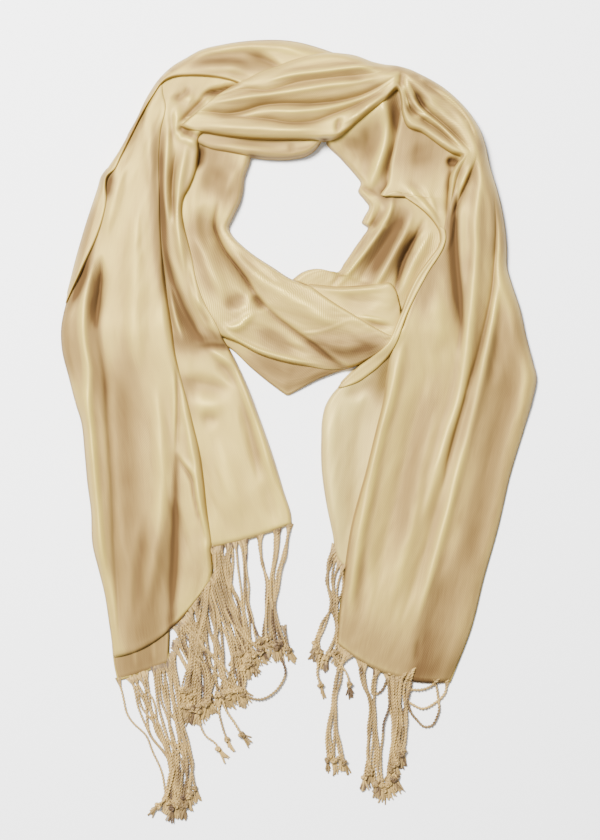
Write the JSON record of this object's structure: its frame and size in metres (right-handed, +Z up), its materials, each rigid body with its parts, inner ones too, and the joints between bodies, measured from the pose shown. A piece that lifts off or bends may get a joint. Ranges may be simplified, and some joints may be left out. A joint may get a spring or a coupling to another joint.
{
  "type": "pashmina shawl",
  "caption": "Satin-twill pashmina shawl with a knotted, twisted fringe, wound once round a neck opening and laid flat with both tails down.",
  "frame": {"origin": "on the table, under the middle of the laid-out shawl", "axes": "+Z up from the table through the neck opening, +Y from the fringes towards the crown of the wrap, +X to the side of the wider tail"},
  "size_m": [0.3819, 0.6253, 0.0282],
  "materials": {
    "satin_twill": "champagne-gold satin twill, soft sheen",
    "satin_twill_back": "paler back of the same twill",
    "twisted_fringe": "two-ply twisted strands with knotted ends"
  },
  "bodies": {
    "root": {"left_tail_back": "satin_twill", "left_tail_under": "satin_twill", "left_tail_front": "satin_twill", "left_pleats": "satin_twill", "outer_band": "satin_twill", "top_pleats": "satin_twill", "corner_pleats": "satin_twill", "back_neck": "satin_twill", "front_neck": "satin_twill", "front_corner": "satin_twill", "front_fold": "satin_twill", "right_neck": "satin_twill", "tail_inner_panel": "satin_twill", "tail_turned_edge": "satin_twill", "right_tail": "satin_twill", "right_tail_back": "satin_twill_back", "fringe_left_front": "twisted_fringe", "fringe_left_middle": "twisted_fringe", "fringe_left_back": "twisted_fringe", "fringe_right_back": "twisted_fringe", "fringe_right_front": "twisted_fringe"}
  },
  "joints": []
}
